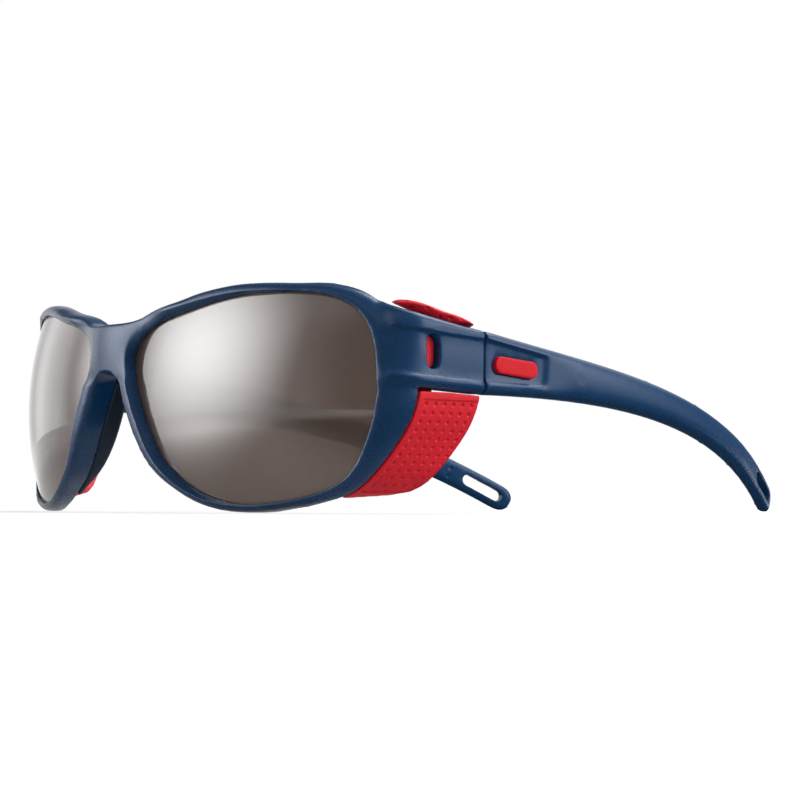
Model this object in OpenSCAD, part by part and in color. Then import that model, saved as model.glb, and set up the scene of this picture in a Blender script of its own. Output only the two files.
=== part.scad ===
/* [Lenses] */
// Width of the lens opening, measured in the lens plane
lens_w = 60; // [54:0.5:66]
// Height of the lens opening
lens_h = 43; // [38:0.5:48]
// Radius of the lens's front sphere
lens_r = 70; // [62:1:90]
// Thickness of a lens
lens_t = 2; // [1.6:0.1:2.6]
// Turn of each lens plane towards its temple, in degrees
lens_wrap = 22; // [16:0.5:26]
// Depth of the lens behind the rim's front edge at the nose
recess_nose = 3.4; // [2.6:0.1:4.2]
// Depth of the lens behind the rim's front edge at the temple
recess_temple = 0.7; // [0.5:0.1:1.2]
// Depth of the lens groove in the rim
groove_d = 0.8; // [0.6:0.05:1]
// Slope of the rim's inner wall at the nose, from its front edge in to the lens
reveal_nose = 1.6; // [1:0.1:2.2]
// Play of a lens in its groove
groove_play = 0.08; // [0.04:0.01:0.12]

/* [Front] */
// Distance between the two lens openings at the nose
bridge_gap = 14; // [11:0.5:18]
// Radius of the sphere that the rims' front edges lie on
front_r = 75; // [66:1:95]
// Outer rounding of the rim along the brow
rim_r_top = 2.1; // [1.6:0.1:2.6]
// Outer rounding of the rim at the cheek
rim_r_bottom = 1.6; // [1.2:0.1:2.2]
// Outer rounding of the rim at the nose
rim_r_nose = 1.2; // [0.9:0.1:1.6]
// Flat front face of the rim at the nose
face_nose = 1.8; // [1.4:0.1:2.2]
// Radius of the side panel between lens and lug
panel_r = 12.2; // [10:0.2:15]
// Straight wall of the rim behind its rounding
rim_wall = 2.6; // [1.8:0.1:3.6]
// Lip of the rim behind the lens groove
rear_lip = 1.3; // [1:0.1:1.8]
// Height of the bridge's upper edge above the lens's middle
bridge_top = 17.4; // [16:0.1:19]
// Height of the nose arch above the lens's middle
arch_top = 6.6; // [5:0.1:9]
// Depth of the bridge from front to back
bridge_d = 6; // [4.5:0.1:7]
// How far the bridge bulges ahead of the lens openings
bridge_bulge = 0.9; // [0.3:0.1:1.6]

/* [Lugs] */
// Length of a lug's straight stretch, from the panel to the temple seam
lug_len = 17.5; // [15:0.5:22]
// Height of a lug where it grows out of the rim
lug_front_h = 17.2; // [15:0.1:18.5]
// Height of the lug's middle above the lens's middle, at the rim
lug_front_z = 11.2; // [10:0.1:12]
// How far a lug stands proud of the side panel
lug_proud = 0.9; // [0.5:0.1:1.4]
// Inward lean of the lug's upper front, per mm of height
lug_lean = 0.45; // [0.3:0.05:0.6]
// Width of the slot that holds the shield's tab
slot_w = 3.6; // [3:0.1:4.2]
// Height of the slot that holds the shield's tab
slot_h = 7.2; // [6:0.1:8]
// Distance of the slot's middle ahead of the temple seam
slot_to_seam = 14.5; // [13.5:0.1:15]

/* [Temples] */
// Height of an arm at the seam between lug and temple
arm_h = 13.4; // [12:0.1:14.4]
// Thickness of an arm at the seam
arm_t = 5.2; // [4.8:0.1:6]
// Height of the arm's middle above the lens's middle, at the seam
arm_z = 7.7; // [6.5:0.1:9]
// Distance from the seam back to the temple's tip
temple_reach = 118.5; // [108:0.5:128]
// Steady fall of a temple from seam to tip
temple_slope = 9; // [6:0.5:12]
// How far a temple's tip hooks inwards
temple_hook = 19.5; // [14:0.5:24]
// Height of the flat temple tip
tip_h = 7; // [6.4:0.1:8]
// Thickness of the flat temple tip
tip_t = 3.2; // [2.8:0.1:3.8]
// Gap between lug and temple at the seam
seam_gap = 0.3; // [0.25:0.05:0.5]
// Depth of the long recess in the outer face of lug and temple
recess_d = 0.7; // [0.4:0.05:0.8]
// Length of that recess in the temple
recess_len = 18.5; // [17:0.5:24]
// Length of the cord slot in a temple tip
cord_slot_l = 13; // [11:0.5:14]
// Width of the cord slot in a temple tip
cord_slot_w = 2.9; // [2.4:0.1:3.2]
// Distance from the cord slot's end to the temple's end
cord_slot_end = 3; // [2.6:0.1:4]
// Diameter of the bendable wire in a temple
core_dia = 1.6; // [1.2:0.1:1.8]
// Length of the raised inlay in a temple's recess
inlay_l = 12.5; // [10:0.5:14]
// Height of the inlay
inlay_h = 3.6; // [3:0.1:4.4]
// How far the inlay stands proud of the recess
inlay_proud = 0.7; // [0.4:0.05:0.8]
// How deep the inlay sits in the temple
inlay_seat = 0.55; // [0.4:0.05:0.7]

/* [Hinges] */
// Outer radius of a hinge knuckle
knuckle_r = 1.7; // [1.5:0.05:1.8]
// Height of the hinge's middle knuckle
knuckle_h = 2; // [1.8:0.1:2.4]
// Axial play between knuckles
knuckle_play = 0.1; // [0.06:0.02:0.14]
// Radius of the hinge screw's shank
screw_r = 0.7; // [0.6:0.05:0.8]
// Play of the screw in its bores
screw_play = 0.04; // [0.02:0.01:0.08]
// Thickness of a hinge leaf
leaf_t = 1; // [0.8:0.05:1.2]
// Length of a hinge leaf from its axis
leaf_l = 9; // [8:0.1:9.5]
// Distance of the hinge axis inside the arm's inner face
axis_inset = 0.9; // [0.6:0.05:1.1]
// Radius of a rivet's shank
rivet_r = 0.5; // [0.4:0.05:0.6]
// Depth of a rivet in the arm
rivet_d = 1.2; // [1:0.1:1.4]

/* [Shields] */
// Thickness of a side shield
shield_t = 1.6; // [1.2:0.1:2]
// Gap between a shield and what it seats on
shield_gap = 0.3; // [0.25:0.05:0.45]
// Length of a shield's lower wing at its upper edge
wing_l = 17; // [14:0.5:17.5]
// Length of a shield's upper wing
brow_wing_l = 19; // [15:0.5:19.5]
// Play of the shield's tab in its slot
tab_play = 0.6; // [0.5:0.05:0.8]
// Depth of the tab's end below the lug's outer face
tab_sunk = 2; // [1.5:0.1:2.4]

/* [Nose pads] */
// How far a nose pad reaches behind the rim
pad_reach = 4.2; // [3:0.1:5.5]
// Gap between pad and rim
pad_gap = 0.14; // [0.1:0.01:0.2]

/* [Hidden] */
$fn = 48;

// Colours
navy = [0.11, 0.21, 0.34];
dark_navy = [0.07, 0.13, 0.22];
red = [0.78, 0.12, 0.16];
brown_glass = [0.36, 0.29, 0.26, 0.6];
steel = [0.72, 0.73, 0.75];

// Lens outline, as shares of half its width and height, from the temple side over the brow to the nose
outline_shares = [
  [1, 0.2], [0.957, 0.573], [0.817, 0.845], [0.543, 0.979], [0, 1], [-0.493, 0.891],
  [-0.763, 0.794], [-0.967, 0.582], [-0.987, 0.277], [-0.83, -0.25], [-0.632, -0.68],
  [-0.25, -0.965], [0.257, -0.998], [0.76, -0.79], [0.967, -0.268]
];
outline_steps = 5;

function spline(a, b, c, d, t) =
  0.5 * (2 * b + (c - a) * t + (2 * a - 5 * b + 4 * c - d) * t * t + (3 * b - a - 3 * c + d) * t * t * t);
function unit(v) = v / norm(v);
function mix(a, b, t) = a + (b - a) * t;
function smooth(t) = t <= 0 ? 0 : t >= 1 ? 1 : t * t * (3 - 2 * t);

// Lens opening in the lens plane: x towards the temple, y up
outline_n = len(outline_shares);
ring_n = outline_n * outline_steps;
opening = [
  for (i = [0:outline_n - 1], s = [0:outline_steps - 1])
    let (p = [for (k = [-1:2]) outline_shares[(i + k + outline_n) % outline_n]])
    let (q = spline(p[0], p[1], p[2], p[3], s / outline_steps))
    [q[0] * lens_w / 2, q[1] * lens_h / 2]
];
// Outward direction at each point of the opening
outward = [
  for (i = [0:ring_n - 1])
    let (t = unit(opening[(i + 1) % ring_n] - opening[(i + ring_n - 1) % ring_n]))
    [t[1], -t[0]]
];
function opening_offset(d, follow) = [
  for (i = [0:ring_n - 1]) opening[i] + (d - follow * reveal(polar(opening[i]))) * outward[i]
];

// Depth of the rim's front edge, and of the lens's sphere, along the lens axis
edge_temple = sqrt(front_r ^ 2 - (lens_w / 2) ^ 2) - front_r;
lens_edge_temple = edge_temple - recess_temple;
lens_edge_nose = edge_temple - recess_nose;
lens_tilt = atan((lens_edge_temple - lens_edge_nose) / lens_w);
lens_half_chord = lens_w / 2 / cos(lens_tilt);
sphere_sides = 160;
lens_sag = sqrt(lens_r ^ 2 - lens_half_chord ^ 2);
lens_centre = [
  sin(lens_tilt) * lens_sag,
  0,
  (lens_edge_temple + lens_edge_nose) / 2 - cos(lens_tilt) * lens_sag
];
function front_depth(p) = sqrt(front_r ^ 2 - p[0] ^ 2 - p[1] ^ 2) - front_r;
function lens_depth(p, r) = lens_centre[2] + sqrt(r ^ 2 - (p[0] - lens_centre[0]) ^ 2 - p[1] ^ 2);

// Where the lens plane stands: its middle, and the way its own axes turn
lens_x = bridge_gap / 2 + lens_w / 2 * cos(lens_wrap) - edge_temple * sin(lens_wrap);
function from_lens(p) = [
  lens_x + p[0] * cos(lens_wrap) + p[2] * sin(lens_wrap),
  p[0] * sin(lens_wrap) - p[2] * cos(lens_wrap),
  p[1]
];

// Rim section: a rounding that starts along the front sphere and turns to the rear
arc_steps = 6;
edge_break = 0.3;
face_min = 2 * edge_break;
reveal_min = 0.3;
nose_turn = 0.7;
skin_turn = 88;
hair = 0.01;
groove_wall = 0.3;
function rim_radius(a) = lookup(a, [
  [-180, rim_r_nose], [-140, rim_r_nose], [-100, rim_r_bottom], [-62, 0.75 * rim_r_bottom],
  [-46, 0.15 * panel_r], [-28, 0.4 * panel_r], [-10, 0.82 * panel_r], [0, panel_r], [10, panel_r],
  [24, 0.75 * panel_r], [34, 0.46 * panel_r], [44, 0.26 * panel_r], [60, 0.7 * rim_r_top],
  [90, rim_r_top], [120, rim_r_top], [155, rim_r_nose], [180, rim_r_nose]
]);
function rim_face(a) = lookup(a, [
  [-180, face_nose], [-165, face_nose], [-130, face_min],
  [125, face_min], [150, face_nose], [180, face_nose]
]);
function reveal(a) = lookup(a, [
  [-180, reveal_nose], [-135, reveal_nose], [-95, reveal_min],
  [80, reveal_min], [140, reveal_nose], [180, reveal_nose]
]);
function rim_straight(a) = lookup(a, [
  [-180, 2 * rim_wall], [-140, 1.6 * rim_wall], [-110, rim_wall], [-70, rim_wall], [-40, rim_wall / 3],
  [-12, 0], [22, 0], [45, rim_wall / 2], [75, rim_wall], [120, rim_wall],
  [150, 2 * rim_wall], [180, 2 * rim_wall]
]);
function polar(p) = atan2(p[1], p[0]);
function turn_start(i) =
  let (p = opening[i])
  asin((p * outward[i]) / front_r);
function turn_end(i) =
  let (c = cos(polar(opening[i])))
  skin_turn - (lens_wrap + 1) * (c > 0 ? c : nose_turn * c);
// A point of the outer skin, at an angle of turn and a straight run behind it, in lens coordinates
function skin_point(i, turn, run, extra = 0) =
  let (a = polar(opening[i]), r = rim_radius(a), f = rim_face(a), s = turn_start(i))
  let (out = f * cos(s) + r * (sin(turn) - sin(s)) + run * cos(turn) + extra * sin(turn))
  let (deep = f * sin(s) + r * (cos(s) - cos(turn)) + run * sin(turn) - extra * cos(turn))
  let (q = opening[i] + out * outward[i])
  [q[0], q[1], front_depth(opening[i]) - deep];
function wall_point(i, out, depth) =
  let (q = opening[i] + out * outward[i])
  [q[0], q[1], depth];
function rim_section(i, grow = 0) =
  let (p = opening[i], n = front_depth(p), t = turn_start(i), e = turn_end(i), v = reveal(polar(p)))
  let (w = p - v * outward[i], g = w + groove_d * outward[i])
  let (lens_back = lens_depth(w, lens_r - lens_t) - groove_play)
  [
    wall_point(i, 0, n - edge_break),
    wall_point(i, edge_break * cos(t), n - edge_break * sin(t) + grow),
    for (k = [0:arc_steps]) skin_point(i, mix(t, e, k / arc_steps), 0, grow),
    skin_point(i, e, rim_straight(polar(p)) + hair + grow, grow),
    wall_point(i, -v, lens_back - rear_lip - grow),
    wall_point(i, -v, lens_back),
    wall_point(i, groove_d - v, lens_depth(g, lens_r - lens_t) - groove_play),
    wall_point(i, groove_d - v, lens_depth(g, lens_r) + groove_play),
    wall_point(i, -v, lens_depth(w, lens_r) + groove_play)
  ];

// Panel end and lug
panel_turn_end = 90 - lens_wrap;
panel_turn_start = asin(lens_w / 2 / front_r);
panel_centre = [
  lens_w / 2 + face_min * cos(panel_turn_start) - panel_r * sin(panel_turn_start),
  0,
  edge_temple - face_min * sin(panel_turn_start) - panel_r * cos(panel_turn_start)
];
lug_lead = 2;
lug_swell = 3;
lug_start = panel_turn_start + lug_lead;
function lug_r(turn) =
  panel_r + lug_proud * smooth(lug_swell * (turn - lug_start) / (panel_turn_end - lug_start));
function lug_outer(turn) = from_lens(panel_centre + lug_r(turn) * [sin(turn), 0, cos(turn)]);
lug_bend = lug_outer(panel_turn_end);
arm_x = lug_bend[0] - arm_t / 2;
seam_y = lug_bend[1] + lug_len;
arm_inner_x = arm_x - arm_t / 2;
axis_x = arm_inner_x - axis_inset;

// Floor: the lowest rim and the tips stand on it
rim_bottom = max([for (i = [0:ring_n - 1], p = rim_section(i)) -p[1]]);
temple_bend = arm_z - temple_slope + rim_bottom - tip_h / 3;

// Spine of a temple, from the seam at 0 to the tip at 1
hook_power = 3;
bend_power = 3.2;
function spine(t) = [
  arm_x - temple_hook * t ^ hook_power,
  seam_y + seam_gap / 2 + (temple_reach - seam_gap / 2) * t,
  arm_z - temple_slope * t - temple_bend * t ^ bend_power
];
function spine_dir(t) = unit(spine(t + 0.002) - spine(t - 0.002 * (t > 0.01 ? 1 : 0)));
function spine_side(t) = t < 0.02 ? [1, 0, 0] : unit(cross(spine_dir(t), [0, 0, 1]));
function spine_up(t) = t < 0.02 ? [0, 0, 1] : cross(spine_side(t), spine_dir(t));
function temple_h(t) = tip_h + (arm_h - tip_h) * (1 - t) ^ bend_power;
function temple_t(t) = mix(arm_t, tip_t, smooth(t * 1.15) * 0.6 + t * 0.4);

// Section of an arm: rounded corners, and a long shallow recess in the outer face
arm_corner = 1.5;
corner_steps = 3;
recess_low = 2.2;
recess_high = 1.8;
recess_slope = 0.5;
function arm_section(h, t, recess, corner, band = 0) =
  let (x = t / 2, z = h / 2)
  let (low = -z + max(recess_low, corner), high = z - max(recess_high + band, corner))
  [
    for (k = [0:corner_steps])
      [x - corner + corner * sin(90 * k / corner_steps), -z + corner - corner * cos(90 * k / corner_steps)],
    [x - hair, low],
    [x - hair - recess, low + recess_slope],
    [x - hair - recess, high - recess_slope],
    [x - hair, high],
    for (k = [0:corner_steps])
      [x - corner + corner * cos(90 * k / corner_steps), z - corner + corner * sin(90 * k / corner_steps)],
    for (k = [0:corner_steps])
      [-x + corner - corner * sin(90 * k / corner_steps), z - corner + corner * cos(90 * k / corner_steps)],
    for (k = [0:corner_steps])
      [-x + corner - corner * cos(90 * k / corner_steps), -z + corner - corner * sin(90 * k / corner_steps)]
  ];

// Rings of a temple: the last ones close in a round end
temple_rings = 20;
end_rings = 5;
end_round = 0.42 * tip_h;
end_h = 0.34;
end_t = 0.6;
end_corner = 0.42;
recess_run = 1.5;
end_start = 1 - end_round / temple_reach;
function temple_recess(t) =
  recess_d * (1 - smooth((t * temple_reach - recess_len + recess_run) / recess_run));
temple_stations = [
  for (k = [0:6]) k / 6 * (recess_len - recess_run - 0.5) / temple_reach,
  for (k = [0:3]) (recess_len + recess_run * (k / 3 - 1)) / temple_reach,
  for (k = [1:temple_rings]) mix((recess_len + 0.5) / temple_reach, end_start, k / temple_rings),
  for (k = [1:end_rings]) mix(end_start, 1, sin(90 * k / end_rings))
];
function end_share(t) = t <= end_start ? 1 : sqrt(max(0, 1 - ((t - end_start) / (1 - end_start)) ^ 2));
function temple_ring(t) =
  let (h = temple_h(t) * mix(end_h, 1, end_share(t)), w = temple_t(t) * mix(end_t, 1, end_share(t)))
  let (c = min(arm_corner, end_corner * w, end_corner * h))
  [for (p = arm_section(h, w, temple_recess(t), c)) spine(t) + p[0] * spine_side(t) + p[1] * spine_up(t)];

// Rings of a lug, from inside the rim to the seam
lug_arc_steps = 6;
lug_straight_steps = 3;
lug_from_y = lug_outer(lug_start)[1];
lug_curve = 0.6;
lug_band = 3.2;
lean_fade = 1.6;
recess_fade = 5;
function lug_share(y) = max(0, (y - lug_from_y) / (seam_y - lug_from_y)) ^ lug_curve;
function lug_ring(face, dir, grow) =
  let (s = lug_share(face[1]), side = [dir[1], -dir[0], 0])
  let (h = mix(lug_front_h, arm_h, s) + 2 * grow, z = mix(lug_front_z, arm_z, s))
  let (lean = lug_lean * (1 - smooth(s * lean_fade)), recess = recess_d * smooth(s * recess_fade))
  [
    for (p = arm_section(h, arm_t + 2 * grow, recess, arm_corner, lug_band * (1 - s)))
      face + (p[0] - arm_t / 2 - lean * max(0, p[1])) * side + [0, 0, z + p[1]]
  ];
function lug_rings(grow = 0) = [
  for (k = [0:lug_arc_steps])
    let (a = mix(lug_start, panel_turn_end, k / lug_arc_steps), w = a + lens_wrap)
    lug_ring(lug_outer(a), [cos(w), sin(w), 0], grow),
  for (k = [1:lug_straight_steps])
    lug_ring(lug_bend + [0, mix(0, lug_len - seam_gap / 2, k / lug_straight_steps), 0], [0, 1, 0], grow)
];

// Bridge: a saddle that runs over the nose from rim to rim
bridge_steps = 14;
bridge_overlap = 4.5;
bridge_reach = bridge_gap / 2 + bridge_overlap;
bridge_corner = 1.6;
arch_corner = 0.7;
arch_half = 0.34 * bridge_gap;
arch_drop = 3;
arch_steps = 6;
bridge_crown = 0.0045;
bridge_set = 0.6;
bridge_flush = 0.43 * bridge_gap;
bridge_sweep = 0.22;
nose_edge_y = from_lens([-lens_w / 2, 0, edge_temple])[1];
function bridge_low(x) =
  lookup(abs(x), [
    for (k = [0:arch_steps])
      [k / arch_steps * arch_half, arch_top - arch_drop * (k / arch_steps) ^ 2.6],
    [bridge_reach, bridge_top - 2 * bridge_corner]
  ]);
function bridge_high(x) = bridge_top + bridge_crown * x ^ 2;
function bridge_front(x) =
  let (d = abs(x))
  nose_edge_y + bridge_set - bridge_bulge * (1 - smooth(d / bridge_flush))
    + bridge_sweep * max(0, d - bridge_flush);
function bridge_ring(x) =
  let (low = bridge_low(x), high = bridge_high(x), y = bridge_front(x))
  let (z = (low + high) / 2, h = (high - low) / 2)
  [
    for (q = [[1, 1, 0], [-1, 1, 90], [-1, -1, 180], [1, -1, 270]], k = [0:3])
      let (a = q[2] + 30 * k, c = q[1] > 0 ? bridge_corner : arch_corner)
      [x, y + bridge_d / 2 + q[0] * (bridge_d / 2 - c) + c * cos(a), z + q[1] * (h - c) + c * sin(a)]
  ];

// Shift that stands the middle of the whole part's floor on the origin
rear_y = max([for (p = temple_ring(1)) p[1]]);
shift = [0, -(rear_y + bridge_front(0)) / 2, rim_bottom];

// Hinge heights above the arm's middle
hinge_half = knuckle_h * 1.5 + knuckle_play;
leaf_short = 0.2;
leaf_half = hinge_half - leaf_short;
leaf_room = 0.1;
head_h = 0.8;
head_r = 1.2;
barrel_room = 0.35;
rivet_pitch = 3;
rivet_end = 1.6;
rivet_rise = 1.6;
rivet_from_axis = [leaf_l - rivet_end - rivet_pitch, leaf_l - rivet_end];
rivet_play = 0.03;
rivet_room = 0.05;
rivet_head = 0.4;
head_lift = 0.02;
knuckle_room = 0.2;
leaf_lap = 0.2;
head_chamfer = 0.25;
driver_w = 0.35;
driver_d = 0.4;

// Rise of the shield's slot above the arm's middle
slot_rise = 1.5;

// Cord slot, witness marks and wire core along the spine
tip_rate = norm(spine(1) - spine(0.98)) / 0.02;
slot_t = 1 - (cord_slot_end + cord_slot_l / 2) / tip_rate;
mark_from_slot = 4.5;
mark_t = 1 - (cord_slot_end + cord_slot_l + mark_from_slot) / tip_rate;
mark_r = 0.45;
mark_d = 0.4;
core_from_slot = 3;
core_end = 1 - (cord_slot_end + cord_slot_l + core_from_slot) / tip_rate;
core_play = 0.05;
core_inset = 0.004;

// Inlay in the temple's recess
inlay_lead = 0.4;
inlay_from_seam = recess_len / 2 - inlay_lead;
inlay_z = -0.7;
inlay_tilt = 4.5;
inlay_play = 0.06;

// Nose pad and shield
pad_t = 2;
pad_edge = 0.5;
web_from = 0.6;
web_w = 6.6;
shelf_low = 1.6;
shelf_inset = 0.2;
wing_edge = 0.4;
wing_gap = 1.2;
wing_round = 20;
wing_low = 0.96;
wing_lean = 30;
wing_slant = 2.8;
brow_rise = 4.5;
brow_foot = 1.1;
brow_arc = 108;
brow_close = 0.45;
brow_corner = 8;
brow_steps = 10;
wing_end = 0.6;

// A closed skin through rings of points; a ring of rings, or a run with flat ends
module loft(rings, closed = false) {
  n = len(rings);
  m = len(rings[0]);
  sides = [
    for (i = [0:closed ? n - 1 : n - 2], j = [0:m - 1])
      let (a = i * m + j, b = i * m + (j + 1) % m)
      let (c = ((i + 1) % n) * m + (j + 1) % m, d = ((i + 1) % n) * m + j)
      each [[a, b, c], [a, c, d]]
  ];
  ends = closed ? [] : [
    [for (j = [m - 1:-1:0]) j],
    [for (j = [0:m - 1]) (n - 1) * m + j]
  ];
  polyhedron(points = [for (r = rings) each r], faces = concat(sides, ends), convexity = 8);
}

// One mesh out of several skins
module welded() {
  resize([0, 0, 0]) children();
}

// Stands a piece in the part's frame
module stand() {
  translate(shift) children();
}

// The same piece on the wearer's right
module other_side() {
  mirror([1, 0, 0]) children();
}

// A prism along the lens axis
module lens_prism(out, low, high, follow = 0) {
  translate([lens_x, 0, 0])
    rotate([0, 0, lens_wrap])
      rotate([90, 0, 0])
        translate([0, 0, low])
          linear_extrude(high - low)
            polygon(opening_offset(out, follow));
}

module lens() {
  intersection() {
    translate(from_lens(lens_centre))
      difference() {
        sphere(lens_r, $fn = sphere_sides);
        sphere(lens_r - lens_t, $fn = sphere_sides);
      }
    lens_prism(groove_d - groove_play, -lens_w / 2, lens_w / 4, 1);
  }
}

module rim(grow = 0) {
  loft([for (i = [ring_n - 1:-1:0]) [for (p = rim_section(i, grow)) from_lens(p)]], true);
}

// Room for a leaf, its barrel and its rivets in an arm; way is -1 in the lug and 1 in the temple
module hinge_room(way) {
  translate([axis_x, seam_y, arm_z]) {
    barrel_h = 2 * (hinge_half + head_h + barrel_room);
    cylinder(r = knuckle_r + barrel_room, h = barrel_h, center = true, $fn = 24);
    translate([0, way > 0 ? 0 : -leaf_l - leaf_room, -hinge_half - leaf_room])
      cube([axis_inset + leaf_t + rivet_room, leaf_l + leaf_room, 2 * (hinge_half + leaf_room)]);
    for (d = rivet_from_axis)
      translate([axis_inset, way * d, rivet_rise])
        rotate([0, 90, 0])
          cylinder(r = rivet_r + rivet_room, h = leaf_t + rivet_d + leaf_room, $fn = 16);
  }
}

module slot_shape(w, h, x0, x1) {
  translate([x0, seam_y - slot_to_seam, arm_z + slot_rise])
    rotate([0, 90, 0])
      linear_extrude(x1 - x0)
        union() {
          square([h - w, w], center = true);
          for (s = [-1, 1])
            translate([s * (h - w) / 2, 0])
              circle(d = w, $fn = 24);
        }
}

module lug() {
  difference() {
    loft(lug_rings());
    lens_prism(groove_d + groove_wall, -lens_w / 2, lens_w / 4);
    hinge_room(-1);
    slot_shape(slot_w, slot_h, arm_inner_x - arm_t, arm_x + arm_t);
  }
}

module bridge() {
  difference() {
    loft([for (k = [bridge_steps:-1:-bridge_steps]) bridge_ring(bridge_reach * k / bridge_steps)]);
    lens_prism(edge_break, -lens_w / 2, lens_w / 4);
    other_side() lens_prism(edge_break, -lens_w / 2, lens_w / 4);
  }
}

module front_frame() {
  color(navy)
    stand()
      welded()
        union() {
          rim();
          lug();
          other_side() rim();
          other_side() lug();
          bridge();
        }
}

// Stands a flat shape on the temple's spine: x along the temple, y up, z outwards
module on_spine(t) {
  p = spine(t);
  a = spine_dir(t);
  b = spine_up(t);
  c = spine_side(t);
  multmatrix([[a[0], b[0], c[0], p[0]], [a[1], b[1], c[1], p[1]], [a[2], b[2], c[2], p[2]]]) children();
}

module capsule(l, h) {
  square([l - h, h], center = true);
  for (s = [-1, 1])
    translate([s * (l - h) / 2, 0])
      circle(d = h, $fn = 32);
}

// A round wire along the temple's spine
module spine_wire(dia, from, to, lead) {
  sides = 8;
  steps = 16;
  ring = [for (j = [0:sides - 1]) dia / 2 * [cos(360 * j / sides), sin(360 * j / sides)]];
  function wire_ring(t) = [for (q = ring) spine(t) + q[0] * spine_side(t) + q[1] * spine_up(t)];
  lead_ring = [for (q = wire_ring(from)) q - [0, lead, 0]];
  loft(concat(lead > 0 ? [lead_ring] : [], [for (k = [0:steps]) wire_ring(mix(from, to, k / steps))]));
}

module inlay_shape(play, high) {
  translate([arm_x + arm_t / 2 - recess_d - inlay_seat - play, seam_y + inlay_from_seam, arm_z + inlay_z])
    rotate([-inlay_tilt, 0, 0])
      rotate([90, 0, 90])
        linear_extrude(high + play)
          capsule(inlay_l + 2 * play, inlay_h + 2 * play);
}

module temple() {
  welded()
    difference() {
      loft([for (t = temple_stations) temple_ring(t)]);
      on_spine(slot_t)
        linear_extrude(4 * tip_t, center = true)
          capsule(cord_slot_l, cord_slot_w);
      for (s = [-1, 1])
        on_spine(mark_t)
          translate([0, s * tip_h / 5, -temple_t(mark_t) / 2 - mark_d])
            cylinder(r = mark_r, h = 2 * mark_d, $fn = 12);
      spine_wire(core_dia + 2 * core_play, 0, core_end, 1);
      hinge_room(1);
      inlay_shape(inlay_play, 2 * inlay_seat);
    }
}

module temple_core() {
  spine_wire(core_dia, core_inset, core_end - core_inset, 0);
}

module temple_inlay() {
  inlay_shape(0, inlay_seat + inlay_proud);
}

// A hinge leaf: plate, arms and bored knuckles; way is -1 on the lug and 1 on the temple
module leaf(way, heights, bore) {
  plate_end = knuckle_r + knuckle_room;
  translate([axis_x, seam_y, arm_z])
    difference() {
      union() {
        translate([axis_inset, way > 0 ? plate_end : -leaf_l, -leaf_half])
          cube([leaf_t, leaf_l - plate_end, 2 * leaf_half]);
        for (z = heights) {
          translate([axis_inset, way > 0 ? 0 : -plate_end - leaf_lap, z])
            cube([knuckle_r - axis_inset, plate_end + leaf_lap, knuckle_h]);
          translate([0, 0, z])
            cylinder(r = knuckle_r, h = knuckle_h);
        }
      }
      cylinder(r = bore, h = 4 * hinge_half, center = true);
      for (d = rivet_from_axis)
        translate([axis_inset, way * d, rivet_rise])
          rotate([0, 90, 0])
            cylinder(r = rivet_r + rivet_play, h = 4 * leaf_t, center = true);
    }
}

module front_leaf() {
  leaf(-1, [-hinge_half, hinge_half - knuckle_h], screw_r + screw_play / 2);
}

module temple_leaf() {
  leaf(1, [-knuckle_h / 2], screw_r + screw_play);
}

module hinge_screw() {
  translate([axis_x, seam_y, arm_z])
    difference() {
      rotate_extrude()
        polygon([
          [0, -hinge_half], [screw_r, -hinge_half], [screw_r, hinge_half + head_lift],
          [head_r, hinge_half + head_lift], [head_r, hinge_half + head_h - head_chamfer],
          [head_r - head_chamfer, hinge_half + head_h], [0, hinge_half + head_h]
        ]);
      translate([-2 * head_r, -driver_w / 2, hinge_half + head_h - driver_d])
        cube([4 * head_r, driver_w, head_h]);
    }
}

module rivets(way) {
  for (d = rivet_from_axis)
    translate([axis_x + axis_inset, seam_y + way * d, arm_z + rivet_rise])
      rotate([0, 90, 0])
        rotate_extrude()
          polygon([
            [0, -rivet_head], [rivet_r * 1.2, -rivet_head], [rivet_r * 1.7, -rivet_head / 3],
            [rivet_r * 1.7, -head_lift], [rivet_r, -head_lift],
            [rivet_r, leaf_t + rivet_d], [0, leaf_t + rivet_d]
          ]);
}

// Nose pad: a crescent that goes on from the rim's wall at the nose and lies on the slope behind it
module nose_pad() {
  first = 39;
  last = 53;
  profile = [[0, 0.4], [0.2, 0.1], [0.5, 0], [0.8, 0.15], [1, 0.45]];
  function reach(i) = 1 + (pad_reach - 1) * sin(180 * ((i - first) / (last - first)) ^ 0.75);
  function slope(i, e, run) =
    let (skin = skin_point(i, e, run), way = skin_point(i, e, run + 1) - skin)
    let (inward = skin - skin_point(i, e, run, 1), rear = rim_section(i)[arc_steps + 4] - skin)
    (rear * way) / (rear * inward);
  function pad_ring(i) =
    let (e = turn_end(i), run = rim_straight(polar(opening[i])) + hair, k = slope(i, e, run))
    [
      for (q = concat(
        [[0, 0]],
        [for (c = profile) [max(reach(i) - c[1] * pad_t, k * c[0] * pad_t + pad_edge), -c[0] * pad_t]],
        [[k * pad_t, -pad_t]]
      ))
        from_lens(skin_point(i, e, run + pad_gap + q[0], q[1]))
    ];
  loft([for (i = [last:-1:first]) pad_ring(i)]);
}

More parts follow.
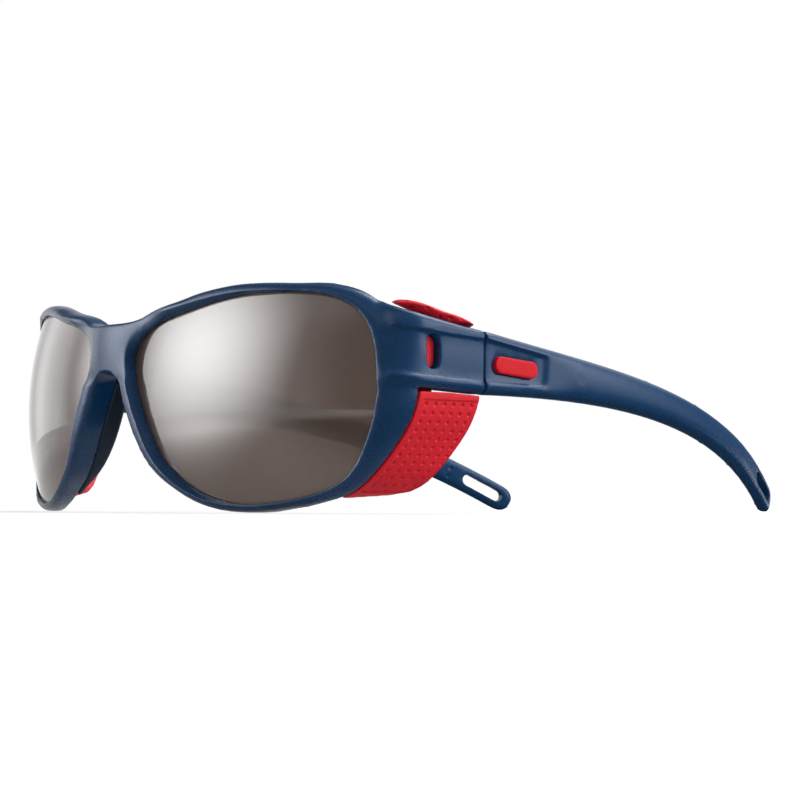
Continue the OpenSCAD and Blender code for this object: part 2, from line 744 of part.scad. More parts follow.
// Side shield: a lower wing that goes on from the side panel, and an upper wing on a web inside the lug
module shield() {
  first = 64;
  last = 73.4;
  steps = 18;
  web_x = arm_inner_x - shield_gap - shield_t;
  web_y = lug_bend[1] + web_from;
  wing_y = seam_y - wing_end;
  wing_z = arm_z + arm_h / 2 + 2 * shield_gap;
  function brow_top(s) =
    shield_t + brow_foot + brow_rise * sin(brow_arc * s) * (1 - brow_close * s ^ brow_corner);
  function wing_run(s) = wing_l * (1 - (1 - s) ^ wing_round) * mix(wing_low, 1, s);
  function wing_point(i, run, extra) =
    from_lens(skin_point(i, turn_end(i), rim_straight(polar(opening[i])), extra)) + [0, run, 0];
  function wing_ring(s) =
    let (f = mix(first, last, s), i = floor(f), l = wing_run(s))
    let (t = shield_t, g = wing_gap * shield_gap, e = wing_edge)
    [
      for (q = [[g, -t], [g + l - e, -t], [g + l, e - t], [g + l, -e], [g + l - e, 0], [g, 0]])
        mix(wing_point(i, q[0], q[1]), wing_point(i + 1, q[0], q[1]), f - i)
    ];
  difference() {
    union() {
      loft([for (k = [0:steps]) wing_ring(k / steps)]);
      translate([web_x + shield_t / 2, web_y + shelf_inset, shelf_inset - shelf_low])
        cube([lug_bend[0] - lug_proud - shield_t - web_x, web_w - 2 * shelf_inset, shield_t]);
      translate([web_x, 0, 0])
        rotate([90, 0, 90])
          linear_extrude(shield_t)
            polygon([
              [web_y, -shelf_low], [web_y + web_w, -shelf_low], [web_y + web_w, wing_z - shield_t],
              [wing_y - 2 * shield_t, wing_z], [web_y, wing_z]
            ]);
      translate([web_x + shelf_inset, 0, wing_z - shield_t - shelf_inset])
        rotate([0, wing_lean, 0])
          rotate([90, 0, 90])
            linear_extrude(shield_t)
              polygon([
                for (k = [0:brow_steps]) [wing_y - brow_wing_l * k / brow_steps, brow_top(k / brow_steps)],
                [wing_y - brow_wing_l + wing_slant, 0], [wing_y - 2.2 * shield_t, 0]
              ]);
    }
    loft(lug_rings(shield_gap));
    rim(shield_gap);
  }
  slot_shape(slot_w - tab_play, slot_h - tab_play, web_x + shield_t / 2, arm_x + arm_t / 2 - tab_sunk);
}

module left_lens() {
  color(brown_glass) stand() lens();
}

module right_lens() {
  color(brown_glass) other_side() stand() lens();
}

module left_nose_pad() {
  color(dark_navy) stand() nose_pad();
}

module right_nose_pad() {
  color(dark_navy) other_side() stand() nose_pad();
}

module left_side_shield() {
  color(red) stand() welded() shield();
}

module right_side_shield() {
  color(red) other_side() stand() welded() shield();
}

module left_temple() {
  color(navy) stand() temple();
}

module right_temple() {
  color(navy) other_side() stand() temple();
}

module left_temple_inlay() {
  color(red) stand() temple_inlay();
}

module right_temple_inlay() {
  color(red) other_side() stand() temple_inlay();
}

module left_temple_core() {
  color(steel) stand() temple_core();
}

module right_temple_core() {
  color(steel) other_side() stand() temple_core();
}

module left_front_leaf() {
  color(steel) stand() front_leaf();
}

module right_front_leaf() {
  color(steel) other_side() stand() front_leaf();
}

module left_temple_leaf() {
  color(steel) stand() temple_leaf();
}

module right_temple_leaf() {
  color(steel) other_side() stand() temple_leaf();
}

module left_hinge_screw() {
  color(steel) stand() hinge_screw();
}

module right_hinge_screw() {
  color(steel) other_side() stand() hinge_screw();
}

module left_front_rivets() {
  color(steel) stand() rivets(-1);
}

module right_front_rivets() {
  color(steel) other_side() stand() rivets(-1);
}

module left_temple_rivets() {
  color(steel) stand() rivets(1);
}

module right_temple_rivets() {
  color(steel) other_side() stand() rivets(1);
}

front_frame();
left_lens();
right_lens();
left_nose_pad();
right_nose_pad();
left_side_shield();
right_side_shield();
left_temple();
right_temple();
left_temple_inlay();
right_temple_inlay();
left_temple_core();
right_temple_core();
left_front_leaf();
right_front_leaf();
left_temple_leaf();
right_temple_leaf();
left_hinge_screw();
right_hinge_screw();
left_front_rivets();
right_front_rivets();
left_temple_rivets();
right_temple_rivets();
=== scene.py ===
# %% [markdown]
# # Glacier glasses
# Wraparound mountain glasses: a satin navy front and temples, brown mirrored
# lenses, soft red side shields and dark nose pads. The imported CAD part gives
# every shape and every place in metres. This lesson turns its faceted solids
# into smooth mouldings, and then gives each one its finish.

# %% Load the part
import math

import bmesh
import bpy
import numpy as np
from mathutils import Matrix, Vector


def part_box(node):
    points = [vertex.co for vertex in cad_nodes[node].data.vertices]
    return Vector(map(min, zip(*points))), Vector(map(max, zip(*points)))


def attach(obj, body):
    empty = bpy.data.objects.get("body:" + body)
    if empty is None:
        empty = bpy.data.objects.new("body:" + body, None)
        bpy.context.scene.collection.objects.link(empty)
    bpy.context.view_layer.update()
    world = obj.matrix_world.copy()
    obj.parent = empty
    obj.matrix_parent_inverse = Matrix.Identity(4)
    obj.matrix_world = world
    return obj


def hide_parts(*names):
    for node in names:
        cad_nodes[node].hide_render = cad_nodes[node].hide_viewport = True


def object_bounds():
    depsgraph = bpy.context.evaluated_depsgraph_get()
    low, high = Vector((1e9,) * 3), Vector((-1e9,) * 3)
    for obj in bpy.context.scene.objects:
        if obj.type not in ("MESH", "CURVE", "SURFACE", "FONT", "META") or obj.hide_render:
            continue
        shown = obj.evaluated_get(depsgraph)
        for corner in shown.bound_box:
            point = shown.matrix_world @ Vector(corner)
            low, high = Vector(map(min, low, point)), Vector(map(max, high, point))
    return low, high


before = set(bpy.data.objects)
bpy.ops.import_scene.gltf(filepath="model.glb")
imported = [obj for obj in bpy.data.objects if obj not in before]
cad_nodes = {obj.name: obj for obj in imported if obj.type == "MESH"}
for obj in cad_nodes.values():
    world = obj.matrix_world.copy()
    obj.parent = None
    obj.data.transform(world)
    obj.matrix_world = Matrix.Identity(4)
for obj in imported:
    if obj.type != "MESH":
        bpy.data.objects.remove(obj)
cad_box = [list(corner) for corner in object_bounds()]
MM = 0.001
SIDES = {"left": 1, "right": -1}
scene = bpy.context.scene


def in_mm(box):
    return [[round(v / MM, 1) for v in corner] for corner in box]


print("CAD box in mm:", in_mm(cad_box))

# %% [markdown]
# ## Camera
# The picture was taken with a long lens almost at floor level. The camera
# looks at a point behind the near lens, from 48 degrees round to the wearer's
# left, and slightly upwards. A matrix built from its three axes is clearer
# here than three rotation angles.

# %% Camera
aim = Vector((39.88, -34.43, 24.42)) * MM
distance = 471.4 * MM
azimuth = math.radians(48.0)
elevation = math.radians(-2.75)
roll = math.radians(0.24)


def way_out(azimuth, elevation):
    """A unit vector to that side: azimuth 0 is the front, and 90 the left."""
    return Vector((
        math.sin(azimuth) * math.cos(elevation),
        -math.cos(azimuth) * math.cos(elevation),
        math.sin(elevation),
    ))


back = way_out(azimuth, elevation)
right = Vector((math.cos(azimuth), math.sin(azimuth), 0))
level = Matrix((right, back.cross(right), back)).transposed()
tilted = (level @ Matrix.Rotation(roll, 3, "Z")).to_4x4()
camera_data = bpy.data.cameras.new("camera")
camera_data.lens = 98.47
camera_data.sensor_width = 36
camera_data.clip_start = 0.01
camera = bpy.data.objects.new("camera", camera_data)
camera.matrix_world = Matrix.Translation(aim + back * distance) @ tilted
scene.collection.objects.link(camera)
scene.camera = camera
print("camera at", [round(v, 4) for v in camera.matrix_world.translation])

# %% [markdown]
# ## White world
# The glasses are shown on white. A world can be white to the camera and still
# light an object softly, because a Light Path node tells which ray is asking.
# Camera, glossy and transmission rays get a strength of 1, which is white. All
# other rays get the lower level that lights the object.

# %% White world
scene.view_settings.view_transform = "Standard"
world_light = 0.46


def seen_rays(tree):
    """A value of 1 for camera, glossy and transmission rays, and 0 for the rest."""
    path = tree.nodes.new("ShaderNodeLightPath")
    value = path.outputs["Is Camera Ray"]
    for ray in ("Is Glossy Ray", "Is Transmission Ray"):
        higher = tree.nodes.new("ShaderNodeMath")
        higher.operation = "MAXIMUM"
        tree.links.new(value, higher.inputs[0])
        tree.links.new(path.outputs[ray], higher.inputs[1])
        value = higher.outputs[0]
    return value


world = bpy.data.worlds.new("studio")
scene.world = world
world.use_nodes = True
world_tree = world.node_tree
background = world_tree.nodes["Background"]
background.inputs["Color"].default_value = (1, 1, 1, 1)
world_strength = world_tree.nodes.new("ShaderNodeMapRange")
world_strength.inputs["To Min"].default_value = world_light
world_strength.inputs["To Max"].default_value = 1
world_tree.links.new(seen_rays(world_tree), world_strength.inputs["Value"])
world_tree.links.new(world_strength.outputs[0], background.inputs["Strength"])
print("world light", world_light)

# %% [markdown]
# ## Paper floor
# The glasses stand on white paper. Its diffuse part keeps their shadow, and a
# glow for the seen rays lifts it to white. The glow is stronger further away,
# so that no horizon shows behind the glasses. A backdrop that bends upwards
# would hide the horizon as well, but it would show in the lenses.

# %% Paper floor
floor_half = 6
floor_drop = 0.05 * MM
paper_grey = 0.5
glow_from, glow_to = 0.1, 0.4
near_glow, far_glow = 0.57, 0.85


def add_object(name, mesh):
    piece = bpy.data.objects.new(name, mesh)
    scene.collection.objects.link(piece)
    return piece


def grid_mesh(name, half_width, half_height):
    bm = bmesh.new()
    bmesh.ops.create_grid(bm, x_segments=1, y_segments=1, size=1)
    bmesh.ops.scale(bm, vec=(half_width, half_height, 1), verts=bm.verts)
    mesh = bpy.data.meshes.new(name)
    bm.to_mesh(mesh)
    bm.free()
    return mesh


def new_material(name):
    """A material with nodes, its node tree and its Principled shader."""
    material = bpy.data.materials.new(name)
    material.use_nodes = True
    return material, material.node_tree, material.node_tree.nodes["Principled BSDF"]


paper, paper_tree, paper_shader = new_material("white_paper")
paper_shader.inputs["Base Color"].default_value = (paper_grey, paper_grey, paper_grey, 1)
paper_shader.inputs["Roughness"].default_value = 0.9
paper_shader.inputs["Specular IOR Level"].default_value = 0
paper_shader.inputs["Emission Color"].default_value = (1, 1, 1, 1)
paper_place = paper_tree.nodes.new("ShaderNodeTexCoord")
paper_far = paper_tree.nodes.new("ShaderNodeVectorMath")
paper_far.operation = "LENGTH"
paper_tree.links.new(paper_place.outputs["Object"], paper_far.inputs[0])
paper_level = paper_tree.nodes.new("ShaderNodeMapRange")
paper_level.inputs["From Min"].default_value = glow_from
paper_level.inputs["From Max"].default_value = glow_to
paper_level.inputs["To Min"].default_value = near_glow
paper_level.inputs["To Max"].default_value = far_glow
paper_tree.links.new(paper_far.outputs["Value"], paper_level.inputs["Value"])
paper_glow = paper_tree.nodes.new("ShaderNodeMath")
paper_glow.operation = "MULTIPLY"
paper_tree.links.new(paper_level.outputs[0], paper_glow.inputs[0])
paper_tree.links.new(seen_rays(paper_tree), paper_glow.inputs[1])
paper_tree.links.new(paper_glow.outputs[0], paper_shader.inputs["Emission Strength"])
floor = add_object("floor", grid_mesh("floor", floor_half, floor_half))
floor.data.transform(Matrix.Translation((0, 0, -floor_drop)))
floor.data.materials.append(paper)
print("paper floor", 2 * floor_half, "m wide")

# %% [markdown]
# ## Lamps
# A wide lamp overhead fills the shadows, and a smaller one behind the wearer's
# left shoulder shapes the temple and the shield. Both are hidden from gloss,
# because a lamp shows there as a plain disk. The boards of the next step draw
# what the glossy surfaces mirror.

# %% Lamps
middle = (0, -0.03, 0.02)


def aimed_at(place, target):
    """A matrix at place, whose -Z axis points at target."""
    turn = (Vector(target) - Vector(place)).to_track_quat("-Z", "Y")
    return Matrix.Translation(place) @ turn.to_matrix().to_4x4()


def area_lamp(name, place, target, size, power):
    data = bpy.data.lights.new(name, "AREA")
    data.shape = "DISK"
    data.size = size
    data.energy = power
    lamp = bpy.data.objects.new(name, data)
    lamp.matrix_world = aimed_at(place, target)
    lamp.visible_glossy = False
    scene.collection.objects.link(lamp)
    print(name, power, "W")


area_lamp("overhead", (0.15, 0.1, 1.1), middle, 0.9, 2.0)
area_lamp("side_key", (0.58, 0.57, 0.58), middle, 0.5, 6.0)

# %% [markdown]
# ## Boards that gloss shows
# Glossy goods are lit by what they mirror. A board is one flat face that only
# glossy rays see: it draws a reflection and adds no light to the object. Its
# glow falls off by its own Object coordinates, along X and Y, or by the
# distance from its origin and the turn about it, so that no hard corner shows
# in a lens. A flag is the same board with little or no glow.

# %% Board helper
def fall_value(tree, spot, axes, measure):
    """The socket that gives a point's measure on the board."""
    if measure == "away":
        off = tree.nodes.new("ShaderNodeVectorMath")
        off.operation = "LENGTH"
        tree.links.new(spot.outputs["Object"], off.inputs[0])
        return off.outputs["Value"]
    value = None
    if measure == "turn":
        angle = tree.nodes.new("ShaderNodeMath")
        angle.operation = "ARCTAN2"
        tree.links.new(axes.outputs["X"], angle.inputs[0])
        tree.links.new(axes.outputs["Y"], angle.inputs[1])
        value = angle.outputs[0]
    size = tree.nodes.new("ShaderNodeMath")
    size.operation = "ABSOLUTE"
    tree.links.new(value or axes.outputs[measure], size.inputs[0])
    return size.outputs[0]


def glow_share(tree, falls):
    """The product of the falls, each one full at its first value and none at its second."""
    spot = tree.nodes.new("ShaderNodeTexCoord")
    axes = tree.nodes.new("ShaderNodeSeparateXYZ")
    tree.links.new(spot.outputs["Object"], axes.inputs[0])
    share = None
    for measure, full, none in falls:
        fall = tree.nodes.new("ShaderNodeMapRange")
        fall.interpolation_type = "SMOOTHSTEP"
        fall.inputs["From Min"].default_value = full
        fall.inputs["From Max"].default_value = none
        fall.inputs["To Min"].default_value = 1
        fall.inputs["To Max"].default_value = 0
        tree.links.new(fall_value(tree, spot, axes, measure), fall.inputs["Value"])
        if share:
            both = tree.nodes.new("ShaderNodeMath")
            both.operation = "MULTIPLY"
            tree.links.new(share, both.inputs[0])
            tree.links.new(fall.outputs[0], both.inputs[1])
            share = both.outputs[0]
        else:
            share = fall.outputs[0]
    return share


def board(name, place, half_width, half_height, glow, falls):
    """A board seen by glossy rays only, whose glow falls off as falls says."""
    piece = add_object(name, grid_mesh(name, half_width, half_height))
    piece.matrix_world = place
    for ray in ("camera", "diffuse", "transmission", "volume_scatter", "shadow"):
        setattr(piece, "visible_" + ray, False)
    material, tree, shader = new_material(name)
    tree.nodes.remove(shader)
    clear = tree.nodes.new("ShaderNodeBsdfTransparent")
    light = tree.nodes.new("ShaderNodeEmission")
    light.inputs["Strength"].default_value = glow
    mix = tree.nodes.new("ShaderNodeMixShader")
    tree.links.new(glow_share(tree, falls), mix.inputs["Fac"])
    tree.links.new(clear.outputs[0], mix.inputs[1])
    tree.links.new(light.outputs[0], mix.inputs[2])
    tree.links.new(mix.outputs[0], tree.nodes["Material Output"].inputs["Surface"])
    piece.data.materials.append(material)
    print(name, "glow", glow)


def soft_board(name, place, half_width, half_height, glow, firm):
    """A board whose middle share, firm, has the full glow."""
    falls = [("X", firm * half_width, half_width), ("Y", firm * half_height, half_height)]
    board(name, place, half_width, half_height, glow, falls)


# %% [markdown]
# ## Where the boards stand
# The lenses mirror a bright board at the front left, whose light runs on along
# the paper to their feet, and a dim one at the far side. The side and rear
# boards draw the light on lugs, temples and ledges. The flags keep the side
# panels and the undersides deep in colour, as black card does in a studio.

# %% Boards
near_lens = Vector((0.037, -0.06, 0.025))


def facing(azimuth, elevation, away):
    """A place on that side of the near lens, looking at it."""
    way = way_out(math.radians(azimuth), math.radians(elevation))
    return aimed_at(near_lens + way * away, near_lens)


def flat(x, y, turn, height=0.1 * MM):
    """A place just above the paper, turned about the upright."""
    return Matrix.Translation((x, y, height)) @ Matrix.Rotation(math.radians(turn), 4, "Z")


soft_board("bright_board", facing(-27, 17, 0.7), 0.58, 0.51, 12.6, 0)
board("low_board", flat(0.028, -0.079, 153, 0.2 * MM), 0.7, 0.72, 6.8,
      [("turn", 0, math.radians(42)), ("away", 0.17, 0)])
board("far_low_flag", flat(-0.025, -0.079, 98, 0.25 * MM), 0.3, 0.3, 0.75,
      [("turn", math.radians(20), math.radians(40)), ("away", 0.06, 0.2)])
board("side_board", facing(133, 18, 0.7), 0.22, 0.26, 5.0,
      [("X", 0.15, 0.22), ("Y", 0.08, 0.26)])
soft_board("rear_board", facing(172, 54, 0.7), 0.26, 0.26, 8.0, 0.4)
soft_board("far_board", facing(-80, 8, 0.75), 0.3, 0.3, 2.2, 0.3)
soft_board("dark_flag", facing(64, 10, 0.52), 0.66, 0.4, 0.18, 0.4)
soft_board("low_flag", flat(0.27, 0.1, 0), 0.23, 0.45, 0.05, 0.7)
soft_board("under_flag", flat(0, 0.035, 0, 0.15 * MM), 0.11, 0.065, 0.05, 0.8)
soft_board("rear_flag", facing(180, 5, 0.55), 0.26, 0.18, 0.15, 0.6)
soft_board("top_flag", facing(40, 78, 0.55), 0.5, 0.3, 0.2, 0.6)
soft_board("back_flag", facing(245, 46, 0.6), 0.45, 0.3, 0.2, 0.6)

# %% [markdown]
# ## Nose card
# Between the rims the real glasses are almost black, because little light gets
# in there. A small black card that stands where the nose goes takes that light
# away. The camera doesn't see it, and it throws no shadow on the paper.

# %% Nose card
card_black = 0.005
card_place = Vector((1, -65, 19)) * MM
nose_card = add_object("nose_card", grid_mesh("nose_card", 12 * MM, 15 * MM))
nose_card.matrix_world = (
    Matrix.Translation(card_place) @ Matrix.Rotation(math.radians(90), 4, "Y"))
for ray in ("camera", "transmission", "shadow"):
    setattr(nose_card, "visible_" + ray, False)
black_card, _, card_shader = new_material("black_card")
card_shader.inputs["Base Color"].default_value = (card_black, card_black, card_black, 1)
card_shader.inputs["Specular IOR Level"].default_value = 0
nose_card.data.materials.append(black_card)
print("nose card at", [round(v / MM) for v in card_place], "mm")

# %% [markdown]
# ## Finishes
# Each finish is a Principled shader with three kinds of detail on Object
# coordinates: a slow drift of colour, a change of roughness, and a fine grain
# in the bump. The coordinates are in metres, so a noise scale of 2000 gives a
# grain of half a millimetre.

# %% Finish helper
def finish(name, colour, drift, roughness, grain, depth, stretch=(1, 1, 1), drift_scale=70):
    """A material with drifting colour, a range of roughness and a grain."""
    material, tree, shader = new_material(name)
    place = tree.nodes.new("ShaderNodeTexCoord")
    mapping = tree.nodes.new("ShaderNodeMapping")
    mapping.inputs["Scale"].default_value = stretch
    tree.links.new(place.outputs["Object"], mapping.inputs["Vector"])

    slow = tree.nodes.new("ShaderNodeTexNoise")
    slow.inputs["Scale"].default_value = drift_scale
    slow.inputs["Detail"].default_value = 3
    tree.links.new(mapping.outputs[0], slow.inputs["Vector"])
    blend = tree.nodes.new("ShaderNodeMix")
    blend.data_type = "RGBA"
    blend.inputs["A"].default_value = (*colour, 1)
    blend.inputs["B"].default_value = (*drift, 1)
    tree.links.new(slow.outputs["Fac"], blend.inputs["Factor"])
    tree.links.new(blend.outputs["Result"], shader.inputs["Base Color"])

    fine = tree.nodes.new("ShaderNodeTexNoise")
    fine.inputs["Scale"].default_value = grain
    fine.inputs["Detail"].default_value = 2
    tree.links.new(mapping.outputs[0], fine.inputs["Vector"])
    rough = tree.nodes.new("ShaderNodeMapRange")
    rough.inputs["To Min"].default_value = roughness[0]
    rough.inputs["To Max"].default_value = roughness[1]
    tree.links.new(fine.outputs["Fac"], rough.inputs["Value"])
    tree.links.new(rough.outputs[0], shader.inputs["Roughness"])
    bump = tree.nodes.new("ShaderNodeBump")
    bump.inputs["Strength"].default_value = 0.35
    bump.inputs["Distance"].default_value = depth
    tree.links.new(fine.outputs["Fac"], bump.inputs["Height"])
    tree.links.new(bump.outputs[0], shader.inputs["Normal"])
    print("finish", name)
    return material


# %% [markdown]
# ## Plastics, rubber and steel
# The navy plastic is satin, with a fine even grain. The shields and pads are
# duller, because soft rubber scatters light. The inlay is smoother. The steel
# is drawn out along one axis, so its grain is stretched, as brushing leaves it.

# %% Finishes
navy_plastic = finish(
    "navy_plastic", (0.005, 0.044, 0.128), (0.007, 0.052, 0.144), (0.24, 0.32),
    3200, 0.004 * MM)
red_soft = finish(
    "red_soft", (0.8, 0.012, 0.028), (0.88, 0.018, 0.036), (0.4, 0.52),
    2600, 0.02 * MM)
dark_soft = finish(
    "dark_soft", (0.007, 0.016, 0.034), (0.011, 0.022, 0.044), (0.5, 0.66),
    2600, 0.02 * MM)
red_inlay = finish(
    "red_inlay", (0.72, 0.008, 0.018), (0.8, 0.012, 0.024), (0.26, 0.34),
    900, 0.004 * MM)
hinge_steel = finish(
    "hinge_steel", (0.56, 0.57, 0.59), (0.66, 0.66, 0.67), (0.24, 0.4),
    1400, 0.006 * MM, (1, 1, 9))
core_wire = finish(
    "core_wire", (0.5, 0.51, 0.53), (0.6, 0.6, 0.61), (0.22, 0.36),
    1800, 0.006 * MM, (9, 1, 9))


def set_shader(material, socket, value):
    material.node_tree.nodes["Principled BSDF"].inputs[socket].default_value = value


set_shader(navy_plastic, "Specular IOR Level", 0.26)
set_shader(red_soft, "Specular IOR Level", 0.2)
set_shader(dark_soft, "Specular IOR Level", 0.2)
set_shader(red_inlay, "Specular IOR Level", 0.1)
set_shader(hinge_steel, "Metallic", 1)
set_shader(core_wire, "Metallic", 1)

# %% [markdown]
# ## Lens finish
# A glacier lens passes only a small part of the light, and a thin mirror coat
# throws some of it back. The tint is the base colour of a partly see-through
# shader, and a clear coat over it gives the mirror. The tint is a little
# lighter and warmer towards the lower edge: a painted reflection of the pale
# paper below the lens.

# %% Lens finish
# The lighter, warmer low tint is a painted reflection of the paper below.
low_tint_with_painted_reflection = (0.195, 0.134, 0.106, 1)
top_tint = (0.168, 0.118, 0.103, 1)
lens_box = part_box("left_lens")
brown_lens, lens_tree, lens_shader = new_material("brown_lens")
lens_shader.inputs["Transmission Weight"].default_value = 0.4
lens_shader.inputs["IOR"].default_value = 1.5
lens_shader.inputs["Coat Weight"].default_value = 0.3
lens_shader.inputs["Coat Roughness"].default_value = 0.1
lens_shader.inputs["Coat IOR"].default_value = 1.6
lens_place = lens_tree.nodes.new("ShaderNodeTexCoord")
lens_axes = lens_tree.nodes.new("ShaderNodeSeparateXYZ")
lens_tree.links.new(lens_place.outputs["Object"], lens_axes.inputs[0])
lens_height = lens_tree.nodes.new("ShaderNodeMapRange")
lens_height.inputs["From Min"].default_value = lens_box[0].z
lens_height.inputs["From Max"].default_value = lens_box[1].z
lens_tree.links.new(lens_axes.outputs["Z"], lens_height.inputs["Value"])
# The ramp paints that reflection: lighter and warmer at the lower edge.
lens_tint_and_painted_reflection = lens_tree.nodes.new("ShaderNodeValToRGB")
lens_tint_and_painted_reflection.color_ramp.elements[0].color = low_tint_with_painted_reflection
lens_tint_and_painted_reflection.color_ramp.elements[1].color = top_tint
lens_tree.links.new(lens_height.outputs[0], lens_tint_and_painted_reflection.inputs["Fac"])
lens_tree.links.new(lens_tint_and_painted_reflection.outputs[0], lens_shader.inputs["Base Color"])
lens_haze = lens_tree.nodes.new("ShaderNodeTexNoise")
lens_haze.inputs["Scale"].default_value = 120
lens_tree.links.new(lens_place.outputs["Object"], lens_haze.inputs["Vector"])
lens_rough = lens_tree.nodes.new("ShaderNodeMapRange")
lens_rough.inputs["To Min"].default_value = 0.02
lens_rough.inputs["To Max"].default_value = 0.05
lens_tree.links.new(lens_haze.outputs["Fac"], lens_rough.inputs["Value"])
lens_tree.links.new(lens_rough.outputs[0], lens_shader.inputs["Roughness"])
print("lens finish over these corners in mm:", in_mm(lens_box))

# %% [markdown]
# ## Smooth mouldings from faceted solids
# The CAD solids have flat facets about 2 mm long. A merged copy of each one is
# remeshed in small even voxels. Points that lie on a crease are then averaged
# only along that crease, and calm points with all their neighbours, so the
# facets blend away and the edges stay. A few passes over all points break the
# edges a little, as a mould does. A Smooth modifier would round everything.

# %% Mesh helpers
merge_distance = 0.0005 * MM


def merged_copy(node):
    """A mesh with the loose triangles of a CAD node joined."""
    bm = bmesh.new()
    bm.from_mesh(cad_nodes[node].data)
    bmesh.ops.remove_doubles(bm, verts=bm.verts, dist=merge_distance)
    mesh = bpy.data.meshes.new(node + "_copy")
    bm.to_mesh(mesh)
    bm.free()
    return mesh


def points_of(mesh):
    points = np.empty(3 * len(mesh.vertices))
    mesh.vertices.foreach_get("co", points)
    return points.reshape(-1, 3)


def normals_of(mesh):
    return np.array([v.normal[:] for v in mesh.vertices])


def set_points(mesh, points):
    mesh.vertices.foreach_set("co", points.ravel())
    mesh.update()
    mesh.shade_smooth()


def ease(value, start, end):
    """0 at start and 1 at end, with a soft beginning and end."""
    t = np.clip((value - start) / (end - start), 0, 1)
    return t * t * (3 - 2 * t)


def dress(piece, material, node, body):
    """Material, body and the CAD node that the piece stands for."""
    piece.data.materials.clear()
    piece.data.materials.append(material)
    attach(piece, body)
    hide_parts(node)


# %% [markdown]
# ## Relaxing a mesh
# A crease is found by the angle between the two faces at an edge. Crease
# points that don't run on in a line of their own are dropped first, because a
# short one would shrink to a bead that catches the light.

# %% Relaxed copies
crease = math.radians(15)
half_way = 0.5
trims = 4


def relaxed(points, links, share, passes):
    """Points moved towards the mean of their linked points, by their share."""
    here, there = links
    count = np.bincount(here, minlength=len(points))[:, None]
    share = share * (count > 0)
    for _ in range(passes):
        sums = [np.bincount(here, points[there, axis], len(points)) for axis in range(3)]
        points = points + share * (np.stack(sums, 1) / np.maximum(count, 1) - points)
    return points


def edges_and_creases(mesh):
    """Each edge both ways, and which points lie on a crease."""
    bm = bmesh.new()
    bm.from_mesh(mesh)
    bm.normal_update()
    sharp = np.zeros(len(bm.verts), bool)
    for e in bm.edges:
        if e.calc_face_angle(0) > crease:
            sharp[[v.index for v in e.verts]] = True
    ends = np.array([[v.index for v in e.verts] for e in bm.edges])
    bm.free()
    links = np.concatenate((ends, ends[:, ::-1])).T
    for _ in range(trims):
        chain = links[0][sharp[links[0]] & sharp[links[1]]]
        sharp &= np.bincount(chain, minlength=len(sharp)) > 1
    return links, sharp


def moulded(node, name, voxel, passes, soft_passes):
    """A remeshed and smoothed copy of a CAD node, as a new object."""
    piece = add_object(name, merged_copy(node))
    remesh = piece.modifiers.new("voxels", "REMESH")
    remesh.mode = "VOXEL"
    remesh.voxel_size = voxel
    ready = bpy.context.evaluated_depsgraph_get()
    mesh = bpy.data.meshes.new_from_object(piece.evaluated_get(ready))
    piece.modifiers.clear()
    piece.data = mesh
    links, sharp = edges_and_creases(mesh)
    kept = links[:, ~sharp[links[0]] | sharp[links[1]]]
    points = relaxed(points_of(mesh), kept, half_way, passes)
    points = relaxed(points, links, half_way, soft_passes)
    set_points(mesh, points)
    print(name, len(mesh.polygons), "faces")
    return piece, links


# %% [markdown]
# ## Front moulding
# The front is one piece: two rims, the bridge and the lugs. On the real one
# the bridge flows into both rims in one soft curve. Here its front face is
# relaxed only backwards and forwards, and its top only up and down, so that
# the joints vanish and the cross-section keeps its size.

# %% Front moulding
bridge_passes = 400
blend_passes = 6
front_reach = 18 * MM
top_reach = 30 * MM
front, front_links = moulded("front_frame", "front_moulding", 0.33 * MM, 22, 2)
points = points_of(front.data)
ways = normals_of(front.data)
inward, height = np.abs(points[:, 0]), points[:, 2]
bridge = ease(inward, 28 * MM, 12 * MM) * ease(height, 27 * MM, 31 * MM)
bridge_links = front_links[:, bridge[front_links[0]] > 0]
for axis, faces, reach in ((1, -ways[:, 1], front_reach), (2, ways[:, 2], top_reach)):
    near = ease(inward, reach, 0.6 * reach) * ease(faces, 0.3, 0.7)
    share = np.zeros_like(points)
    share[:, axis] = half_way * bridge * near
    points = relaxed(points, bridge_links, share, bridge_passes)
points = relaxed(points, bridge_links, half_way * bridge[:, None], blend_passes)
set_points(front.data, points)
print("bridge blended over", int((bridge > 0).sum()), "points")

# %% [markdown]
# ## Lug faces
# The outer face of each lug is slightly crowned, so that the light changes
# over it. The points are clipped to the CAD part's box at the end, so that
# none stands proud of it.

# %% Lug faces
lug_crown = 0.3 * MM
lug_middle = 32.6 * MM
lug_half = 7.5 * MM
points = points_of(front.data)
outward = np.sign(points[:, 0])
faces_out = normals_of(front.data)[:, 0] * outward
across = np.clip((points[:, 2] - lug_middle) / lug_half, -1, 1)
span = ease(points[:, 1], -66 * MM, -50 * MM) * ease(np.abs(points[:, 0]), 63 * MM, 65 * MM)
push = lug_crown * (1 - across ** 2) * span * ease(faces_out, 0.4, 0.8)
points[:, 0] += outward * push
set_points(front.data, np.clip(points, *cad_box))
dress(front, navy_plastic, "front_frame", "front")
print("lug crown", round(push.max() / MM, 2), "mm")

# %% [markdown]
# ## Temples
# The outer face of each arm is slightly crowned, so that its upper half shows
# the light from above and its lower half stays dark. The crown is measured
# between the arm's upper and lower edges, and fades out before the recess at
# the front and the slotted end at the rear. Two small pits are pressed into
# the inner face beside the slot. The red inlay sits in the recess.

# %% Temples
crown = 0.55 * MM
pit_places = ((66.3 * MM, 12.1 * MM), (65.5 * MM, 9.9 * MM))
pit_radius = 0.5 * MM
pit_depth = 0.35 * MM


def edge_line(heights, values, pick, step=0.4 * MM):
    """The lowest or highest value at each height, as a smooth line."""
    levels = np.arange(heights.min(), heights.max(), step)
    line = [pick(values[abs(heights - level) < step]) for level in levels]
    return levels, np.convolve(np.pad(line, 2, mode="edge"), np.ones(5) / 5, mode="valid")


